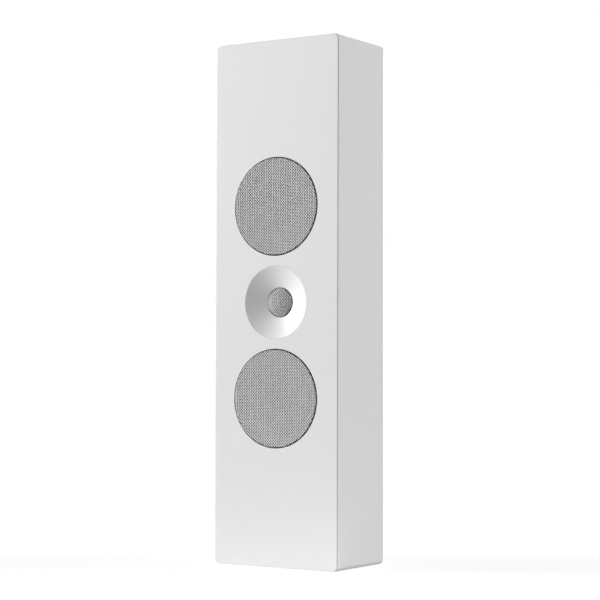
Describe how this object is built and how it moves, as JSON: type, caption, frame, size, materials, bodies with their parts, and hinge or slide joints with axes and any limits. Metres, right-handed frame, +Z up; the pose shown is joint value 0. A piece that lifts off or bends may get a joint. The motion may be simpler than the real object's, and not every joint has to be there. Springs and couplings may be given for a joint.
{
  "type": "center channel speaker",
  "caption": "Slim white box speaker standing on its end, with round mesh woofer grilles above and below a small domed tweeter grille in a shallow cone.",
  "frame": {"origin": "middle of the base, on the surface that the speaker stands on", "axes": "+Z up along the height, -Y out of the front baffle, +X to the right as seen from the front"},
  "size_m": [0.167, 0.104, 0.6],
  "materials": {
    "lacquer": "satin white lacquer on fibreboard",
    "panel_lacquer": "satin white lacquer on fibreboard",
    "moulding": "satin white moulded plastic",
    "fibreboard": "bare fibreboard",
    "foam": "closed-cell foam",
    "felt": "grey felt",
    "mesh": "fine woven steel mesh, painted light grey",
    "cast": "black powder coat",
    "rubber": "soft black rubber",
    "paper": "coated paper",
    "spider": "resin-stiffened cloth",
    "copper": "enamelled copper wire",
    "steel": "zinc-plated steel",
    "ferrite": "sintered ferrite",
    "black_plastic": "fine-textured black plastic",
    "red_plastic": "red plastic",
    "gold": "gold-plated brass",
    "silk": "coated silk",
    "circuit": "green circuit board",
    "screw": "black-oxide steel",
    "film_blue": "blue film wrap",
    "ceramic": "cast ceramic"
  },
  "bodies": {
    "root": {"cabinet": "lacquer", "rear_panel": "panel_lacquer", "rear_panel_gasket": "foam", "rear_panel_screws": "screw", "upper_brace": "fibreboard", "lower_brace": "fibreboard", "upper_damping_pad": "felt", "lower_damping_pad": "felt", "upper_woofer_grille": "mesh", "lower_woofer_grille": "mesh", "upper_woofer_basket": "cast", "upper_woofer_gasket": "foam", "upper_woofer_surround": "rubber", "upper_woofer_cone": "paper", "upper_woofer_dust_cap": "paper", "upper_woofer_spider": "spider", "upper_woofer_voice_coil": "copper", "upper_woofer_top_plate": "steel", "upper_woofer_magnet": "ferrite", "upper_woofer_yoke": "steel", "upper_woofer_tag_strip": "black_plastic", "lower_woofer_basket": "cast", "lower_woofer_gasket": "foam", "lower_woofer_surround": "rubber", "lower_woofer_cone": "paper", "lower_woofer_dust_cap": "paper", "lower_woofer_spider": "spider", "lower_woofer_voice_coil": "copper", "lower_woofer_top_plate": "steel", "lower_woofer_magnet": "ferrite", "lower_woofer_yoke": "steel", "lower_woofer_tag_strip": "black_plastic", "woofer_screws": "screw", "waveguide": "moulding", "waveguide_gasket": "foam", "waveguide_screws": "screw", "tweeter_grille": "mesh", "tweeter_face_plate": "cast", "tweeter_diaphragm": "silk", "tweeter_top_plate": "steel", "tweeter_magnet": "ferrite", "tweeter_yoke": "steel", "tweeter_rear_chamber": "black_plastic", "tweeter_screws": "screw", "terminal_cup": "black_plastic", "binding_posts": "gold", "red_post_knob": "red_plastic", "black_post_knob": "black_plastic", "binding_post_nuts": "gold", "left_hanger_plate": "steel", "right_hanger_plate": "steel", "small_panel_screws": "screw", "crossover_board": "circuit", "crossover_spacers": "black_plastic", "crossover_screws": "screw", "crossover_coils": "copper", "crossover_capacitors": "film_blue", "crossover_resistors": "ceramic", "driver_cables": "rubber", "input_cables": "rubber"}
  },
  "joints": []
}
